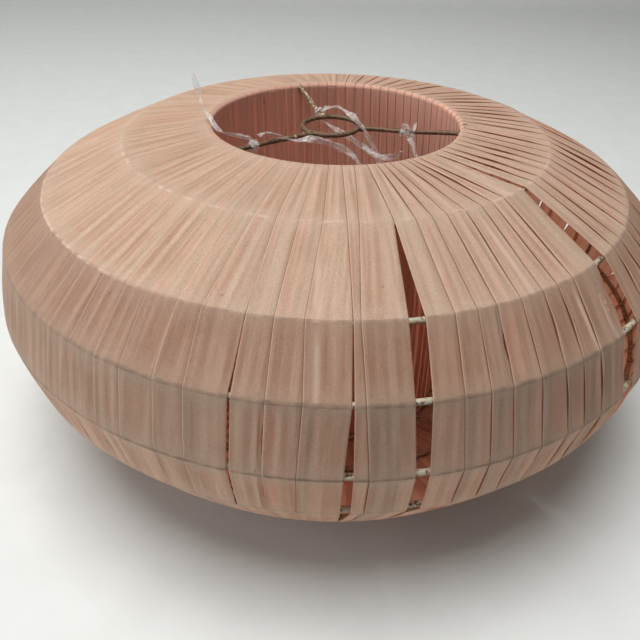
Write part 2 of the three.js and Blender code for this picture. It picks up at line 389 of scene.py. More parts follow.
def winding_nodes(number):
    """The CAD nodes of a length of outer winding: above the girth hoop and below it."""
    return [f"outer_winding_{number}_upper", f"outer_winding_{number}_lower"]


def winding_edges(number):
    """The bearings of a winding's two edges at each hoop, in radians."""
    points = np.concatenate([node_points(node) for node in winding_nodes(number)])
    middle = points[:, :2].mean(0)
    centre = math.atan2(middle[1], middle[0])
    bearing = (np.arctan2(points[:, 1], points[:, 0]) - centre + math.pi) % math.tau
    bearing += centre - math.pi
    radius = np.hypot(points[:, 0], points[:, 1])
    edges = []
    for i in range(HOOP_COUNT):
        near = np.hypot(radius - HOOP_R[i], points[:, 2] - HOOP_Z[i]) < WINDING_REACH
        edges.append((bearing[near].min(), bearing[near].max()))
    return np.array(edges).T


# ---- Ribbon ----

CLOSED_SEAM = 0.6 * MM  # up to here, the ribbon really overlaps at the CAD's opening
OPEN_SEAM = 1.4 * MM  # from here on, the opening is a real gap between two turns
TURN_JITTER = 1.5 * MM  # how unevenly the turns are spaced
HOOP_JITTER = TURN_JITTER / 4  # and more of it, different at each hoop
SEED = 20

# Extra slits between turns: bearing in degrees, the runs that they open, and their opening.
SLITS = [
    (-66.4, (2,), 1.3 * MM),
    (-28.0, (1,), 1.6 * MM),
    (-96.3, (3, 4), 1.0 * MM),
    (-22.8, (4, 5), 2.5 * MM),
    (4.9, (4,), 7.0 * MM),
    (24.2, (4,), 4.5 * MM),
    (33.5, (4,), 3.0 * MM),
]
# Bleached streaks: bearings in degrees at their upper and lower hoop, those hoops, half width.
BLEACHED = [
    (-92.6, -91.6, 1, 2, 1.3 * MM),
    (-91.6, -91.4, 2, 3, 0.8 * MM),
    (-80.0, -80.4, 1, 2, 1.1 * MM),
    (-49.0, -47.0, 0, 1, 2.2 * MM),
    (-58.5, -59.0, 1, 2, 1.2 * MM),
    (-51.6, -52.4, 2, 3, 1.4 * MM),
    (-46.8, -48.2, 2, 3, 1.0 * MM),
]
# Grime with painted crease shade over each hoop; below zero a worn pale line with a painted crease
# highlight.
HOOP_GRIME_AND_CREASE_LIGHT = [0.15, -0.8, 0.6, 1.0, 1.0, 0.75, 0.25, 0.1, 0.3]
HOOP_GRIME_AND_CREASE_LIGHT_LEFT = [0.1, -0.95, -0.95, 0.6, 0.9, 0.6, 0.25, 0.1, 0.3]  # on the shade's left
CREASE_MARK_TURNS = (math.radians(-135), math.radians(-105))  # where one list goes over to the other

# Painted light: each run between hoops made brighter or darker for the light and floor bounce on it.
RUN_PAINTED_LIGHT = [1.16, 1.20, 0.86, 0.97, 1.38, 1.48, 1.3, 1.1, 1.0]
RUN_DUST = [0.5, 0.5, 0.1, 1.0, 1.0, 1.0, 1.0, 0.5, 0.0]  # dust that greys the faded pink

rng = np.random.default_rng(SEED)


def turn_edges():
    """The bearing of every turn's left edge at every hoop."""
    lefts = []
    edges = [winding_edges(k + 1) for k in range(len(TURNS))]
    for k in range(1, len(TURNS)):
        edges[k] = edges[k] + math.tau * (edges[k].mean() < edges[k - 1].mean())
    for k, turns in enumerate(TURNS):
        start, end = edges[k]
        following = edges[(k + 1) % len(TURNS)][0]
        gap = (following - end) % math.tau * HOOP_R
        openness = np.clip((gap - CLOSED_SEAM) / (OPEN_SEAM - CLOSED_SEAM), 0, 1)
        beside = np.pad(openness, 1)
        openness = np.maximum(openness, np.maximum(beside[:-2], beside[2:]))
        evenly = end - (end - start) / turns
        squeezed = end - GATHERED_WIDTHS / HOOP_R
        last = evenly + (squeezed - evenly) * openness
        for j in range(turns):
            left = start + (last - start) * j / (turns - 1)
            shift = rng.normal(0, TURN_JITTER) + rng.normal(0, HOOP_JITTER, HOOP_COUNT)
            if 0 < j < turns - 1:
                left = left + shift / HOOP_R.max()
            lefts.append(left)
    return np.array(lefts)


LEFT = turn_edges()
TURN_COUNT = len(LEFT)


def left_edges(turn):
    """The left edge of a turn, counted on past the last one."""
    return LEFT[turn % TURN_COUNT] + math.tau * (turn // TURN_COUNT)


def run_angle(i):
    """The way out from the run between hoop i and the next, as an angle up from level. After the
    last hoop comes the run back up inside."""
    j = (i + 1) % HOOP_COUNT
    return math.atan2(HOOP_R[j] - HOOP_R[i], HOOP_Z[i] - HOOP_Z[j])


ARC_POINTS = 3  # on each hoop that the ribbon only bends over
WRAP_POINTS = 7  # on the top and bottom hoops, which it goes round
BESIDE_HOOP = [0.7 * MM, 2.0 * MM, 4.5 * MM]  # rows this far from a hoop, so its crease is crisp
RUN_POINTS = 6  # then so many inside each run
WALL_POINTS = 14  # inside the run back up


def ribbon_anchors():
    """Points of a turn that lie on a hoop: (hoop, angle, 1 where the turn has moved on by one)."""
    wall = run_angle(BOTTOM)
    anchors = []
    for angle in np.linspace(wall + math.tau, run_angle(0), WRAP_POINTS):
        anchors.append((0, angle, 0))
    for i in range(1, BOTTOM):
        for angle in np.linspace(run_angle(i - 1), run_angle(i), ARC_POINTS):
            anchors.append((i, angle, 0))
    for angle in np.linspace(run_angle(BOTTOM - 1), wall, WRAP_POINTS):
        anchors.append((BOTTOM, angle, 0))
    anchors.append((0, wall, 1))
    return anchors


ANCHORS = ribbon_anchors()


def ribbon_stations():
    """Stations along one turn: (anchor before, anchor after, share of the way, run or None)."""
    stations = []
    for a in range(len(ANCHORS) - 1):
        stations.append((a, a, 0.0, None))
        here, there = ANCHORS[a][0], ANCHORS[a + 1][0]
        if here != there:
            inside = WALL_POINTS if here == BOTTOM else RUN_POINTS
            span = math.hypot(HOOP_R[there] - HOOP_R[here], HOOP_Z[there] - HOOP_Z[here])
            beside = np.array(BESIDE_HOOP) / span
            between = np.linspace(beside[-1], 1 - beside[-1], inside + 2)[1:-1]
            for u in np.concatenate([beside, between, 1 - beside[::-1]]):
                stations.append((a, a + 1, u, here))
    return stations


STATIONS = ribbon_stations()

# Columns across the ribbon: three at the exposed edge, some up to the next turn's edge, a few
# where it dives under that edge, and the hidden part.
EDGE_COLUMNS = [0.0, 0.5 * MM, 1.4 * MM]
DIVE_COLUMNS = [-1.5 * MM, -0.5 * MM, 0.6 * MM]
OPEN_COLUMNS = 7
TUCKED_UNDER = 2.4 * MM  # room kept for the hidden part where turns don't overlap
COLUMNS = len(EDGE_COLUMNS) + OPEN_COLUMNS + len(DIVE_COLUMNS) + 2


def column_places(width, pitch):
    """Distances from the left edge of every column, for a ribbon that shows over pitch."""
    shown = min(pitch, width - TUCKED_UNDER)
    places = list(EDGE_COLUMNS)
    places += list(np.linspace(places[-1], shown + DIVE_COLUMNS[0], OPEN_COLUMNS + 2)[1:-1])
    places += [shown + d for d in DIVE_COLUMNS]
    places += [(places[-1] + width) / 2, width]
    return np.array(places)


# Soft pleats of each run: the shortest and longest distance between two, and their height.
TOP_PLEATS = (4 * MM, 13 * MM, 0.16 * MM)
SIDE_PLEATS = (5 * MM, 13 * MM, 0.23 * MM)
WALL_PLEATS = (6 * MM, 13 * MM, 0.30 * MM)
RUN_PLEATS = [TOP_PLEATS] + [SIDE_PLEATS] * (BOTTOM - 1) + [WALL_PLEATS]
WALL_RADIUS = 100 * MM
WAVE_COUNT = 6  # waves that add up to a run's pleats
WAVE_DRIFT = 1.2  # how far a wave shifts over its run, in radians


def wave_set(run):
    """Amplitudes, numbers of waves round the shade, phases and drifts of a run's soft pleats."""
    on_wall = run == BOTTOM
    radius = WALL_RADIUS if on_wall else (HOOP_R[run] + HOOP_R[run + 1]) / 2
    shortest, longest, height = RUN_PLEATS[run]
    waves = np.round(math.tau * radius / rng.uniform(shortest, longest, WAVE_COUNT))
    heights = rng.uniform(0.4, 1.0, WAVE_COUNT) * height
    phases = rng.uniform(0, math.tau, WAVE_COUNT)
    return heights, waves, phases, rng.normal(0, WAVE_DRIFT, WAVE_COUNT)


WAVES = [wave_set(run) for run in range(HOOP_COUNT)]


def pleats(run, bearing, u):
    heights, waves, phases, drifts = WAVES[run]
    total = 0
    for h, n, p, d in zip(heights, waves, phases, drifts):
        total = total + h * np.sin(n * bearing + p + d * u)
    return total


# The uppermost turn above each hoop's wire; under the bottom hoop it reaches the ground.
TOP_LAYERS = [TOP_LAYER] * BOTTOM + [HOOP_Z[-1] - HOOP_WIRE - SELVAGE_THICKNESS / 2]
LIFT_RANGE = (0.10 * MM, 0.55 * MM)
LOOSE_LIFT = 0.75 * MM  # on the loosely wound side
LOOSE_BEARINGS = (math.radians(-62), math.radians(35))
LIFT_REACH = 3.0 * MM  # how far from the edge the lift dies out
PRESSED_IN = 0.40 * MM  # how far the layer under a turn is pressed in between hoops
SINKS_OVER = (-1.5 * MM, 0.3 * MM)  # from the next turn's edge, where a turn goes under it
# Powers of the swell between two hoops: the smaller, the nearer to the hoops it goes.
PLEAT_SWELL = 0.7
PRESS_SWELL = 0.5
SLIT_SWELL = 0.35
FADES_OVER = (-0.9, -0.2)  # cosine of the way out, where the inside goes over to the outside


def anchor_rows(turn):
    """For each anchor: the columns' bearings, points and distances from the neighbours' edges."""
    rows = []
    for hoop, angle, moved in ANCHORS:
        radius = HOOP_R[hoop]
        left = left_edges(turn + moved)[hoop]
        width = GATHERED_WIDTHS[hoop]
        pitch = (left_edges(turn + moved + 1)[hoop] - left) * radius
        across = column_places(width, pitch)
        bearing = left + across / radius
        depth = np.zeros(COLUMNS)
        for m in (1, 2, 3):
            beyond = (bearing - left_edges(turn + moved + m)[hoop]) * radius
            depth += smooth_step(beyond, *SINKS_OVER)
        under = left_edges(turn + moved - 1)[hoop] + width / radius
        rest = HOOP_WIRE + TOP_LAYERS[hoop] - LAYER_STEP * depth
        out = np.array([math.cos(angle), math.sin(angle)])
        rows.append({
            "points": polar(radius + out[0] * rest, bearing, HOOP_Z[hoop] + out[1] * rest),
            "bearing": bearing,
            "across": across / width * RIBBON_WIDTH,
            "beside": across,
            "to_next": pitch - across,
            "single": (bearing - under) * radius,
            "hidden": np.minimum(depth, 1),
        })
    return rows


def slit_opening(turn, run):
    """How wide the slit is that opens at the turn's right in a run, or 0."""
    for bearing, runs, opening in SLITS:
        if run not in runs:
            continue
        away = np.abs(wrapped(LEFT[:, run] - math.radians(bearing)))
        if (int(np.argmin(away)) - 1) % TURN_COUNT == turn:
            return opening
    return 0.0


FOLDED_BACK = 3.0 * MM  # where a turn's right side is drawn back from a slit


def drawn_back(row, opening, share):
    """A row whose hidden right side is folded back, to end opening before the next turn."""
    reach = max(FOLDED_BACK, opening + FOLDED_BACK / 2)
    beyond = np.maximum(row["beside"] - row["to_next"][0] + reach, 0)
    room = (reach - opening) / max(beyond[-1], reach)
    back = beyond * (1 - room) * share
    sideways = polar(1, row["bearing"] + math.pi / 2, 0)
    return {**row, "points": row["points"] - sideways * back[:, None],
            "to_next": row["to_next"] + back}


def run_value(values, hoop, following):
    """A run's own value from a list of them, changing quickly over each hoop."""
    if hoop == following:
        return (values[max(hoop - 1, 0)] + values[hoop]) / 2
    return values[hoop]


def bleach(bearing, hoop, share):
    """From 0 to 1, how bleached the ribbon is at a bearing, share of the way down from a hoop."""
    amount = np.zeros_like(bearing)
    place = hoop + share
    for upper, lower, first, last, half in BLEACHED:
        if first <= place <= last:
            middle = math.radians(upper + (lower - upper) * (place - first) / (last - first))
            away = np.abs(wrapped(bearing - middle)) * HOOP_R[hoop]
            fade = smooth_step(np.array(place), first, first + 0.4)
            amount = np.maximum(amount, (1 - smooth_step(away, half * 0.4, half * 1.5)) * fade)
    return amount


def hoop_grime_and_crease_light(hoop, bearing):
    """Grime and painted crease light over a hoop, which is not the same on the shade's left as in
    front.
    """
    front = smooth_step(wrapped(bearing), *CREASE_MARK_TURNS)
    return HOOP_GRIME_AND_CREASE_LIGHT_LEFT[hoop] + (HOOP_GRIME_AND_CREASE_LIGHT[hoop] - HOOP_GRIME_AND_CREASE_LIGHT_LEFT[hoop]) * front


def turn_rows(turn):
    """Points, ways out and attributes of every station of one turn."""
    anchors = anchor_rows(turn)
    lifts = rng.uniform(*LIFT_RANGE, HOOP_COUNT)
    if LOOSE_BEARINGS[0] < wrapped(left_edges(turn)[GIRTH]) < LOOSE_BEARINGS[1]:
        lifts = lifts + rng.uniform(0.1, 1.0, HOOP_COUNT) ** 1.5 * LOOSE_LIFT
    shade = rng.uniform(0, 1)
    rows = []
    along = 0.0
    previous = None
    for first, second, u, run in STATIONS:
        a, b = anchors[first], anchors[second]
        row = {key: a[key] + (b[key] - a[key]) * u for key in a}
        hoop_a, angle_a, _ = ANCHORS[first]
        hoop_b, angle_b, _ = ANCHORS[second]
        angle = angle_a + (angle_b - angle_a) * u
        ways = polar(math.cos(angle), row["bearing"], math.sin(angle))
        nearest = hoop_a if u < 0.5 else hoop_b
        crest = min(u, 1 - u) * norm(b["points"][0] - a["points"][0])
        if run is not None:
            swell = math.sin(math.pi * u)
            raised = pleats(run, row["bearing"], u) * swell ** PLEAT_SWELL * (1 - row["hidden"])
            raised = raised + lifts[run] * swell * np.exp(-row["beside"] / LIFT_REACH)
            raised = raised - PRESSED_IN * row["hidden"] * swell ** PRESS_SWELL
            row["points"] = row["points"] + ways * raised[:, None]
            opening = slit_opening(turn, run)
            if opening > 0:
                row = drawn_back(row, opening * swell ** SLIT_SWELL, swell ** SLIT_SWELL)
        middle = row["points"][COLUMNS // 2]
        if previous is not None:
            along += float(norm(middle - previous))
        previous = middle
        on_wall = run == BOTTOM
        row["ways"] = ways
        row["grime_and_crease_light"] = hoop_grime_and_crease_light(nearest, row["bearing"])
        row["bleach"] = bleach(row["bearing"], hoop_a, u) * (not on_wall)
        whole_row = {
            "along": along,
            "crest": crest,
            "turn": shade,
            "painted_run_light": run_value(RUN_PAINTED_LIGHT, hoop_a, hoop_b),
            "dusty": run_value(RUN_DUST, hoop_a, hoop_b),
            "front": 1.0,
            "faded": 0.0 if on_wall else smooth_step(math.cos(angle), *FADES_OVER),
        }
        for key, value in whole_row.items():
            row[key] = np.full(COLUMNS, value)
        rows.append(row)
    return rows, along


IN_MILLIMETRES = ("across", "along", "to_next", "single", "crest")
RIBBON_ATTRIBUTES = (
    *IN_MILLIMETRES, "grime_and_crease_light", "bleach", "turn", "faded", "painted_run_light", "dusty", "front")


def edge_faces(line, inner, turned=False):
    """Quads along a line of outer points, to the inner points that come so many places later."""
    faces = [(a, b, b + inner, a + inner) for a, b in zip(line[:-1], line[1:])]
    return [tuple(reversed(f)) for f in faces] if turned else faces


def ribbon_length(number, first_turn, turns, material):
    """One length of the ribbon: its turns one after another, as one closed strip."""
    rows = []
    length = 0.0
    for turn in range(first_turn, first_turn + turns):
        found, along = turn_rows(turn)
        for row in found:
            row["along"] = row["along"] + length
        length += along
        rows += found
    ending = dict(rows[-1])
    ending.update(anchor_rows(first_turn + turns - 1)[-1])
    ending["ways"] = polar(-1, ending["bearing"], 0)
    ending["faded"] = np.zeros(COLUMNS)
    rows.append(ending)
    points = np.array([row["points"] for row in rows])
    ways = np.array([row["ways"] for row in rows])
    half = np.full((len(rows), COLUMNS), RIBBON_THICKNESS / 2)
    half[:, [0, 1, -1]] = SELVAGE_THICKNESS / 2
    outer = points + ways * half[..., None]
    inner = points - ways * half[..., None]
    count = len(rows) * COLUMNS
    faces = grid_faces(len(rows), COLUMNS)
    faces += [tuple(v + count for v in reversed(f)) for f in faces]
    grid = np.arange(count).reshape(len(rows), COLUMNS)
    faces += edge_faces(grid[:, 0].tolist(), count)
    rounded = len(faces)
    faces += edge_faces(grid[:, -1].tolist(), count, turned=True)
    faces += edge_faces(grid[0].tolist(), count, turned=True)
    faces += edge_faces(grid[-1].tolist(), count)
    attributes = {}
    for key in RIBBON_ATTRIBUTES:
        values = np.array([row[key] for row in rows])
        if key in IN_MILLIMETRES:
            values = values / MM
        inside = values * 0 if key in ("faded", "front") else values
        attributes[key] = np.concatenate([values, inside])
    piece = make_object(
        f"ribbon_length_{number}", np.concatenate([outer, inner]), faces, material, "ribbon",
        attributes, flat_faces=len(faces) - rounded)
    panel = (number - 1) // LENGTHS_PER_PANEL + 1
    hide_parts(*winding_nodes(number), f"inner_winding_{panel}")
    return piece, length


# ---- Materials ----

RIBBON_DOUBLE = (0.595, 0.62, 0.503)  # faded, where two layers lie on each other
RIBBON_SINGLE = (0.53, 0.64, 0.523)  # faded, where one layer lets the dark inside through
RIBBON_FRESH = (0.99, 0.67, 0.54)  # inside, where no daylight has reached
RIBBON_BACK = (0.96, 0.71, 0.60)  # the side that faces the space between the two walls
RIBBON_BACKLIT = (0.99, 0.69, 0.57)  # light that comes through it
BACKLIT_STREAK = (0.92, 0.60, 0.48)
# A pale woven edge, partly a painted highlight along it.
RIBBON_SELVAGE_AND_HIGHLIGHT = (0.76, 0.70, 0.58)
# Dirt with painted shade where a turn dives under the next one's edge.
RIBBON_CREVICE_DIRT_AND_SHADE = (0.17, 0.095, 0.065)
# Grime with painted crease shade over the hoops, and a worn pale line with a painted crease
# highlight.
GRIME_AND_CREASE_SHADE = (0.23, 0.225, 0.18)
WORN_PALE_AND_CREASE_HIGHLIGHT = (0.82, 0.75, 0.62)
BLEACHED_TINT = (0.84, 0.76, 0.65)
STAIN = (0.06, 0.035, 0.02)
FLY_SPECK = (0.09, 0.06, 0.04)
TRANSLUCENCY = 0.60
# Tints that multiply the ribbon's colour.
PINK_TINT = (1.0, 0.86, 0.83)  # where no dust greys it
# Dust streaks along the ribbon, partly painted shade of its soft pleats.
STREAK_DUST_AND_PLEAT_SHADE = (0.83, 0.78, 0.75)
LINE_TINT = (0.90, 0.87, 0.86)
TURN_TINT = (0.95, 0.97, 0.97)  # more of it on some turns than on others
BLOTCH_TINT = (0.86, 0.88, 0.86)
DUST_TINT = (0.72, 0.70, 0.68)

# How often streaks and finer lines change, per millimetre across the ribbon and along it.
STREAK_SCALE = (0.21, 0.0065)
LINE_SCALE = (0.75, 0.02)
WARP_PITCH = 0.45  # in millimetres
WEFT_PITCH = 0.5
# Stains on the ribbon: place and size.
STAINS = [
    ((-0.0632, 0.0718, 0.2337), 1.5 * MM),
    ((0.0985, -0.0100, 0.2440), 2.6 * MM),
    ((0.0975, -0.0160, 0.2440), 1.8 * MM),
]


def ribbon_material():
    s = Shader("ribbon")
    (across, along, to_next, single, crest, grime_and_crease_light, bleached, turn, faded, painted_run_light, dusty,
     front) = [s.attribute(name) for name in RIBBON_ATTRIBUTES]
    place = s.place()
    # Streaks run the ribbon's whole length, so their noise is stretched along it.
    stretched = [s.times(way, scale) for way, scale in zip((across, along), STREAK_SCALE)]
    streaks = s.noise(s.vector(*stretched), 1.0, detail=1, roughness=0.4)
    stretched = [s.times(way, scale) for way, scale in zip((across, along), LINE_SCALE)]
    fine = s.noise(s.vector(*stretched, 7.0), 1.0, detail=2)
    # They are drawn flat where the ribbon lies on a hoop, and are faint where it hasn't aged.
    aged = s.math("MULTIPLY_ADD", faded, 0.65, s.math("MULTIPLY_ADD", front, 0.25, 0.10))
    slack = s.times(s.step(crest, 0.5, 14.0, 0.25, 1.0), aged)
    patches = s.step(s.noise(place, 14.0, detail=1), 0.36, 0.56, 0.6, 1.0)
    layer = s.step(s.math("ADD", single, s.times(streaks, 3.0)), 0.5, 3.0)
    base = s.mix(layer, RIBBON_DOUBLE, RIBBON_SINGLE)
    base = s.mix(dusty, s.tint(1.0, base, PINK_TINT), base)
    base = s.mix(faded, s.mix(front, RIBBON_BACK, RIBBON_FRESH), base)
    # Streaks: dust, and painted shade of the soft pleats.
    base = s.tint(s.times(s.step(streaks, 0.40, 0.60), slack, patches), base, STREAK_DUST_AND_PLEAT_SHADE)
    base = s.tint(s.times(s.step(fine, 0.42, 0.70), slack), base, LINE_TINT)
    base = s.tint(turn, base, TURN_TINT)
    # Painted light: each run made brighter or darker for the light that falls on it.
    base = s.tint(1.0, base, s.vector(painted_run_light, painted_run_light, painted_run_light))
    # Blotches and dust that came with age, in place on the shade rather than on the ribbon.
    blotches = s.noise(place, 38.0, detail=4, roughness=0.6)
    base = s.tint(s.times(s.step(blotches, 0.46, 0.72, 0.0, 0.8), aged), base, BLOTCH_TINT)
    dust = s.noise(place, 1150.0, detail=2, roughness=0.7)
    base = s.tint(s.times(s.step(dust, 0.42, 0.60), aged), base, DUST_TINT)
    base = s.mix(s.times(bleached, 0.6), base, BLEACHED_TINT)
    # The woven edge is pale, partly a painted highlight; against the next turn's edge, dirt and
    # painted shade.
    base = s.mix(s.step(across, 0.2, 0.8, 0.45, 0.0), base, RIBBON_SELVAGE_AND_HIGHLIGHT)
    crevice_dirt_and_shade = s.times(s.step(to_next, -0.1, 0.9, 0.70, 0.0), front)
    base = s.mix(crevice_dirt_and_shade, base, RIBBON_CREVICE_DIRT_AND_SHADE)
    # Grime with painted crease shade over the hoops; below zero a worn pale line with a painted
    # crease highlight.
    uneven = s.noise(place, 160.0, detail=3)
    reach = s.step(crest, 0.0, s.math("MULTIPLY_ADD", uneven, 1.5, 0.15), 1.0, 0.0)
    grime_and_crease_shade = s.times(s.math("MAXIMUM", grime_and_crease_light, 0.0), reach, s.step(uneven, 0.35, 0.62, 0.35, 1.0))
    base = s.mix(s.times(grime_and_crease_shade, 0.65), base, GRIME_AND_CREASE_SHADE)
    worn_and_crease_highlight = s.times(s.math("MAXIMUM", s.times(grime_and_crease_light, -1.0), 0.0), reach)
    base = s.mix(s.times(worn_and_crease_highlight, s.step(uneven, 0.48, 0.6)), base, WORN_PALE_AND_CREASE_HIGHLIGHT)
    # Dark stains at their own places.
    for stain, size in STAINS:
        away = s.node("VectorMath", operation="DISTANCE")
        s.fill(away, place, stain)
        spread = s.math("MULTIPLY_ADD", uneven, size * 1.2, away.outputs["Value"])
        base = s.mix(s.step(spread, size * 0.9, size * 1.6, 0.9, 0.0), base, STAIN)
    # A few dark fly specks.
    specks = s.node("TexVoronoi", Vector=place, Scale=105.0, Randomness=1.0)
    near = s.step(specks.outputs["Distance"], 0.035, 0.075, 1.0, 0.0)
    chosen = s.node("SeparateColor", Color=specks.outputs["Color"]).outputs[0]
    base = s.mix(s.times(near, s.step(chosen, 0.66, 0.72), 0.85), base, FLY_SPECK)
    # Height for the bump: pleat streaks, then the weave.
    warp = s.math("SINE", s.times(across, math.tau / WARP_PITCH))
    weft = s.math("SINE", s.times(along, math.tau / WEFT_PITCH))
    height = s.times(s.math("MULTIPLY_ADD", fine, 0.20, streaks), slack)
    height = s.math("MULTIPLY_ADD", s.times(warp, weft), 0.014, height)
    cloth = s.node(
        "BsdfPrincipled", Base_Color=base, Roughness=0.88, Normal=s.bump(height, 1.1 * MM, 0.8),
        Specular_IOR_Level=0.22, Sheen_Weight=0.12, Sheen_Roughness=0.45)
    through = s.mix(s.step(streaks, 0.36, 0.62), RIBBON_BACKLIT, BACKLIT_STREAK)
    # The same painted shade under the next turn's edge, in the light that comes through.
    through = s.mix(s.times(crevice_dirt_and_shade, 0.8), through, RIBBON_CREVICE_DIRT_AND_SHADE)
    back = s.node("BsdfTranslucent", Color=through)
    return s.finish(s.mix_surfaces(TRANSLUCENCY, cloth, back))


CREAM_PAINT = [(0.41, 0.375, 0.29), (0.30, 0.27, 0.20)]  # its cleaner and yellower patches
PAINT_UNDERSIDE_SHADE = (0.20, 0.20, 0.15)
CHIP_RIM = (0.40, 0.22, 0.10)
CHIP_STEEL = (0.035, 0.028, 0.022)
RUST = [(0.058, 0.035, 0.020), (0.205, 0.118, 0.064)]  # its darker and lighter patches
RUST_PIT = (0.045, 0.028, 0.018)
OLD_PAINT = (0.50, 0.39, 0.25)
FLAKED_PAINT = 0.15  # how much paint is left on the left arm
PATCHY_PAINT = 0.42  # and on the back arm
FILM_WHITE = (0.80, 0.78, 0.76, 1)
FILM_CLEAR = (0.97, 0.96, 0.95, 1)
PAPER = [(0.615, 0.62, 0.61), (0.64, 0.645, 0.635)]


def painted_material():
    """Cream paint on wire, yellowed, with chips down to dark steel and a painted shade darkening its
    underside.
    """
    s = Shader("cream_paint")
    place = s.place()
    base = s.mix(s.step(s.noise(place, 60.0, detail=4), 0.35, 0.7), *CREAM_PAINT)
    # Painted shade: the paint is darker where the wire faces down.
    up = s.node("SeparateXYZ", Vector=s.node("NewGeometry").outputs["Normal"]).outputs["Z"]
    base = s.mix(s.step(up, -0.4, 0.5, 0.8, 0.0), base, PAINT_UNDERSIDE_SHADE)
    wear = s.noise(place, 330.0, detail=5, roughness=0.7)
    chip = s.step(wear, 0.56, 0.60)
    base = s.mix(s.step(wear, 0.53, 0.56), base, CHIP_RIM)
    base = s.mix(chip, base, CHIP_STEEL)
    paint = s.node(
        "BsdfPrincipled", Base_Color=base, Roughness=s.step(chip, 0.0, 1.0, 0.42, 0.75),
        Normal=s.bump(s.times(chip, -1.0), 0.25 * MM, 0.8))
    return s.finish(paint.outputs[0])


def rusty_material(name, paint_left):
    """Oxidised steel wire; paint_left is how much of the old cream paint is still on it."""
    s = Shader(name)
    place = s.place()
    rust = s.noise(place, 420.0, detail=6, roughness=0.7)
    base = s.mix(s.step(rust, 0.35, 0.62), *RUST)
    base = s.mix(s.step(s.noise(place, 1500.0, detail=3), 0.52, 0.7, 0.0, 0.7), base, RUST_PIT)
    flakes = s.noise(place, 330.0, detail=5, roughness=0.65)
    bare = 0.64 - 0.3 * paint_left
    painted = s.step(flakes, bare, bare + 0.03)
    base = s.mix(painted, base, OLD_PAINT)
    height = s.math("ADD", rust, s.times(painted, 0.5))
    metal = s.node(
        "BsdfPrincipled", Base_Color=base, Normal=s.bump(height, 0.35 * MM, 0.9),
        Metallic=s.step(painted, 0.0, 1.0, 0.35, 0.0), Roughness=s.step(rust, 0.3, 0.7, 0.45, 0.8))
    return s.finish(metal.outputs[0])


def film_material():
    """Clear packing film, milky where it is crinkled."""
    s = Shader("clear_film")
    crinkle = s.noise(s.place(), 420.0, detail=3, roughness=0.6)
    film = s.node(
        "BsdfPrincipled", Base_Color=FILM_WHITE, Roughness=0.16, Specular_IOR_Level=0.9,
        Normal=s.bump(crinkle, 0.7 * MM, 0.8))
    clear = s.node("BsdfTransparent", Color=FILM_CLEAR)
    milky = s.step(s.noise(s.place(), 260.0, detail=3), 0.35, 0.68, 0.12, 0.36)
    return s.finish(s.mix_surfaces(milky, clear, film))


def stage_material():
    s = Shader("pale_paper")
    base = s.mix(s.step(s.noise(s.place(), 24.0, detail=5), 0.3, 0.7), *PAPER)
    paper = s.node("BsdfPrincipled", Base_Color=base, Roughness=0.75, Specular_IOR_Level=0.3)
    return s.finish(paper.outputs[0])


# ---- Wire frame ----

HOOP_STEPS = 240
WIRE_SIDES = 12


def make_hoop(index, material):
    """One hoop of drawn wire, not perfectly round, with a paint skin a little uneven."""
    name = HOOP_NAMES[index]
    bearing = np.arange(HOOP_STEPS) * math.tau / HOOP_STEPS
    wander = 0.06 * MM * np.sin(3 * bearing + index) + 0.04 * MM * np.sin(11 * bearing + 2 * index)
    path = polar(HOOP_R[index] + wander, bearing, HOOP_Z[index] + wander)
    radii = HOOP_WIRE * (1 - 0.02 * (1 + np.sin(37 * bearing + index)))
    shape = sweep(path, radii, WIRE_SIDES, closed=True)
    return make_single(name, "wire", shape, material, "cream_paint")


def rib_bearing(number):
    x, y, _ = node_points(f"rib_{number}").mean(0)
    return math.atan2(y, x)


RIB_GAP = 0.1 * MM  # between a rib and the inner side of a hoop, closed by the weld
WELD_SWELL = 0.9 * MM
WELD_REACH = 2.2 * MM
RIB_STEPS = 16  # between two hoops
RIB_SIDES = 10


def make_rib(number, material):
    """One wire bent to the frame's outline inside the hoops, thicker at each weld."""
    bearing = rib_bearing(number)
    offset = HOOP_WIRE + RIB_WIRE + RIB_GAP
    corners = []
    for i in range(HOOP_COUNT):
        before, after = run_angle(max(i - 1, 0)), run_angle(min(i, BOTTOM - 1))
        middle = (before + after) / 2
        reach = offset / math.cos((before - after) / 2)
        corners.append(polar(
            HOOP_R[i] - reach * math.cos(middle), bearing, HOOP_Z[i] - reach * math.sin(middle)))
    path = []
    for i in range(BOTTOM):
        for u in np.linspace(0, 1, RIB_STEPS, endpoint=False):
            path.append(corners[i] * (1 - u) + corners[i + 1] * u)
    path.append(corners[-1])
    path = np.array(path)
    for _ in range(2):
        path[1:-1] = (path[:-2] + 2 * path[1:-1] + path[2:]) / 4
    away = np.min([norm(path - corner, axis=1) for corner in corners], axis=0)
    radii = RIB_WIRE + WELD_SWELL * np.exp(-((away / WELD_REACH) ** 2))
    make_single(f"rib_{number}", "wire", sweep(path, radii, RIB_SIDES), material, "cream_paint")


def weld_blob(centre, size, stretch, seed):
    """A lumpy bead of weld metal, as points and faces."""
    rings, sides = 9, 14
    points = []
    for i in range(1, rings):
        height = math.cos(math.pi * i / rings)
        around = math.sin(math.pi * i / rings)
        for k in range(sides):
            angle = math.tau * k / sides
            lump = 1 + 0.12 * math.sin(3 * angle + seed) * around + 0.08 * math.sin(5 * height + seed)
            local = np.array([around * math.cos(angle), around * math.sin(angle), height]) * lump
            points.append(centre + local * size * stretch)
    pole = np.array([0, 0, size * stretch[2]])
    points += [centre + pole, centre - pole]
    top, bottom = len(points) - 2, len(points) - 1
    faces = [tuple(reversed(f)) for f in grid_faces(rings - 1, sides, wrap_columns=True)]
    last = (rings - 2) * sides
    for k in range(sides):
        after = (k + 1) % sides
        faces.append((top, k, after))
        faces.append((bottom, last + after, last + k))
    return np.array(points), faces


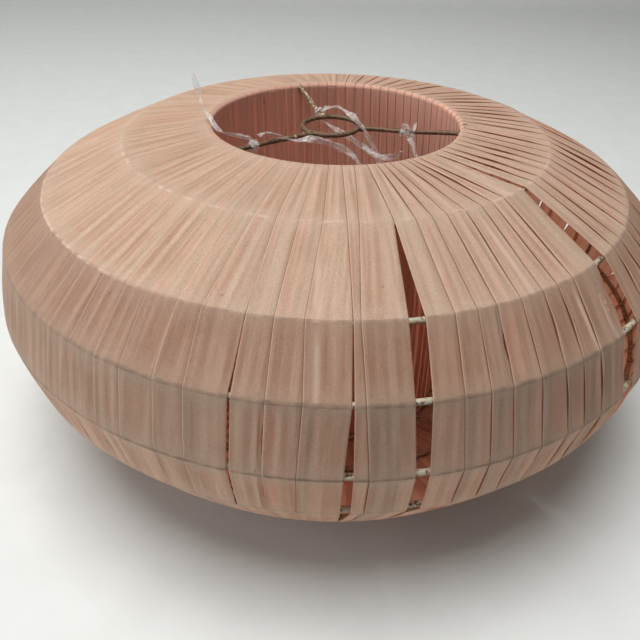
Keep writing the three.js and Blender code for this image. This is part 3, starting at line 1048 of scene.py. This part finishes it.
def joined(parts):
    """Several closed meshes as one list of points and one of faces."""
    points, faces = [], []
    start = 0
    for part_points, part_faces in parts:
        points.append(part_points)
        faces += [tuple(v + start for v in f) for f in part_faces]
        start += len(part_points)
    return np.concatenate(points), faces


ARM_SWAY = 0.5 * MM
ARM_STEPS = 60
# Weld beads at an arm's two ends: size and stretch.
HOOP_WELD = (2.6 * MM, np.array([1.0, 1.0, 0.9]))
RING_WELD = (2.9 * MM, np.array([1.15, 1.15, 0.85]))
RING_STEPS = 120
RING_SIDES = 14
BUTT_WELD = math.radians(200)  # where the ring's wire is closed
BUTT_WELD_REACH = 0.06  # in radians


def make_arm(name, material):
    """A spider arm: bent wire with a weld bead at the hoop and at the ring."""
    outer, inner = rod_ends(name)
    seed = len(name) * 1.7
    share = np.linspace(0, 1, ARM_STEPS)
    path = outer + (inner - outer) * share[:, None]
    sway = np.sin(math.pi * share) * np.sin(5 * share + seed) * ARM_SWAY
    path[:, 2] += sway
    path[:, 0] += sway * 0.6
    pitted = 1 + 0.025 * np.sin(41 * share + seed) + 0.02 * np.sin(97 * share)
    parts = [
        sweep(path, ARM_WIRE * pitted, WIRE_SIDES),
        weld_blob(outer, *HOOP_WELD, seed),
        weld_blob(inner, *RING_WELD, seed + 1),
    ]
    make_single(name, "wire", joined(parts), material, "rusty_wire")


def make_ring(material):
    """The lampholder ring, a wire ring closed with a butt weld."""
    low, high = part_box("lampholder_ring")
    centre = np.array((low + high) / 2)
    radius = (high.x - low.x) / 2 - RING_WIRE
    bearing = np.arange(RING_STEPS) * math.tau / RING_STEPS
    path = centre + polar(radius + 0.25 * MM * np.sin(2 * bearing), bearing, 0)
    weld = np.exp(-(((bearing - BUTT_WELD) / BUTT_WELD_REACH) ** 2))
    radii = RING_WIRE * (1 + 0.03 * np.sin(17 * bearing) + 0.22 * weld)
    shape = sweep(path, radii, RING_SIDES, closed=True)
    make_single("lampholder_ring", "wire", shape, material, "rusty_wire")


# ---- Film ties ----

FILM_STEPS = 12  # between two points of a route
FILM_SIDES = 18
FILM_CORNERS = np.arange(FILM_SIDES) * math.tau / FILM_SIDES
FILM_OPENNESS = 1.45  # flat film is wider than its strand is thick
KNOT_TURNS = 2.5  # round the arm
KNOT_STEPS = 110
KNOT_STRAND = 1.3 * MM  # half the strand's width
KNOT_ROOM = 1.1 * MM  # from the arm to the strand's centre where it lies nearest
KNOT_SPREAD = 0.9 * MM  # farther out where it crosses itself
KNOT_SLIDE = 2.2 * MM  # to and fro along the arm


def film_profile(count, seed):
    """Half width of crumpled flat film at each corner of its section, its flatness and turning."""
    t = np.arange(count) / FILM_STEPS
    waver = 0.15 * np.sin(2.1 * t + seed) + 0.1 * np.sin(7.3 * t + seed)
    wide = FILM_DIAMETER / 2 * (FILM_OPENNESS + waver)
    folds = 0.16 * np.sin(3 * FILM_CORNERS + 1.7 * t[:, None] + seed)
    folds = folds + 0.10 * np.sin(5 * FILM_CORNERS - 2.9 * t[:, None])
    squash = 0.30 + 0.10 * np.sin(1.3 * t + 2 * seed) + 0.06 * np.sin(5.9 * t)
    twist = 0.15 * t + 0.9 * np.sin(0.8 * t + seed)
    return wide[:, None] * (1 + folds), np.clip(squash, 0.18, 0.5), twist


def make_tie(name, material, seed):
    path = spline(np.array(FILM_ROUTES[name]) / MM_PER_METRE, FILM_STEPS)
    radii, squash, twist = film_profile(len(path), seed)
    radii = radii * OPENED_OUT.get(name, 1.0)
    shape = sweep(path, radii, FILM_SIDES, squash=squash, twist=twist)
    return make_single(name, "film", shape, material, "clear_film"), path


def make_knot(name, arm, material, seed):
    """Film wound round its arm, a strand that crosses itself."""
    low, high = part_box(name)
    centre = np.array((low + high) / 2)
    outer, inner = rod_ends(arm)
    axis = (inner - outer) / norm(inner - outer)
    side = np.cross(axis, (0, 0, 1))
    side /= norm(side)
    up = np.cross(side, axis)
    share = np.linspace(0, 1, KNOT_STEPS)
    angle = math.tau * KNOT_TURNS * share + seed
    bulk = KNOT_BULK[name]
    reach = ARM_WIRE + KNOT_ROOM + bulk * KNOT_SPREAD * np.sin(2.3 * angle + seed) ** 2
    slide = bulk * KNOT_SLIDE * np.sin(1.7 * math.pi * share + seed)
    path = (centre + np.outer(slide, axis) + (reach * np.cos(angle))[:, None] * side
            + (reach * np.sin(angle))[:, None] * up)
    folds = 0.18 * np.sin(3 * FILM_CORNERS + 22 * share[:, None] + seed)
    swelling = 1 + 0.25 * np.sin(9 * share + seed)
    radii = KNOT_STRAND * bulk ** 0.5 * swelling[:, None] * (1 + folds)
    shape = sweep(path, radii, FILM_SIDES, squash=0.5, twist=3.0)
    return make_single(name, "film", shape, material, "clear_film")


def make_films():
    """The ties and knots."""
    film = film_material()
    for k, (knot_name, (arm, ties)) in enumerate(FILM_KNOTS.items()):
        knot = make_knot(knot_name, arm, film, 1.3 * k + 0.4)
        for n, tie_name in enumerate(ties):
            tie, path = make_tie(tie_name, film, 0.7 + k + 2.1 * n)
            length = float(norm(np.diff(path, axis=0), axis=1).sum())


# ---- Stage ----

WINDOW = {"place": (-4.5, -0.15, 1.0), "target": (0, 0, 0.12), "size": 2.2, "watts": 98,
          "tint": (0.96, 0.985, 1.0)}
CEILING = {"place": (-0.26, -0.22, 2.1), "target": (0, 0, 0), "size": 1.5, "watts": 53,
           "tint": (0.99, 1.0, 0.99)}
ROOM_TINT = (0.95, 0.955, 0.94, 1)
ROOM_STRENGTH = 0.20
SWEEP_STEPS = 17  # in the paper's bend


def make_stage():
    """A pale sheet of paper that curves up behind the object."""
    half, front, back, bend, top = 4.0, -2.0, 2.0, 0.5, 2.4
    profile = [(front, 0.0)]
    for angle in np.linspace(0, math.pi / 2, SWEEP_STEPS):
        profile.append((back + bend * math.sin(angle), bend * (1 - math.cos(angle))))
    profile.append((back + bend, top))
    points = [(x, y, z) for y, z in profile for x in (-half, half)]
    faces = [tuple(reversed(f)) for f in grid_faces(len(profile), 2)]
    floor = add_mesh("paper_sweep", points, faces, stage_material())


def area_light(name, place, target, size, watts, tint):
    data = bpy.data.lights.new(name, "AREA")
    data.shape = "DISK"
    data.size = size
    data.energy = watts
    data.color = tint
    light = add_object(name, data)
    light.location = place
    light.rotation_euler = (Vector(target) - Vector(place)).to_track_quat("-Z", "Y").to_euler()


def make_lights():
    area_light("window", **WINDOW)
    area_light("ceiling", **CEILING)
    world = bpy.data.worlds.new("room")
    world.use_nodes = True
    background = world.node_tree.nodes["Background"]
    background.inputs["Color"].default_value = ROOM_TINT
    background.inputs["Strength"].default_value = ROOM_STRENGTH
    bpy.context.scene.world = world
    bpy.context.scene.view_settings.view_transform = "Standard"


# ---- Making the scene ----

make_camera()
make_films()

paint = painted_material()
hoops = [make_hoop(i, paint) for i in range(HOOP_COUNT)]
for rib in range(1, RIB_COUNT + 1):
    make_rib(rib, paint)

rust = rusty_material("rusty_wire", 0.0)
make_ring(rust)
make_arm("spider_arm_left", rusty_material("rusty_wire_flaked", FLAKED_PAINT))
make_arm("spider_arm_right", rust)
make_arm("spider_arm_back", rusty_material("rusty_wire_with_paint", PATCHY_PAINT))

ribbon = ribbon_material()
first = 0
for k, turns in enumerate(TURNS):
    piece, length = ribbon_length(k + 1, first, turns, ribbon)
    first += turns

make_stage()
make_lights()
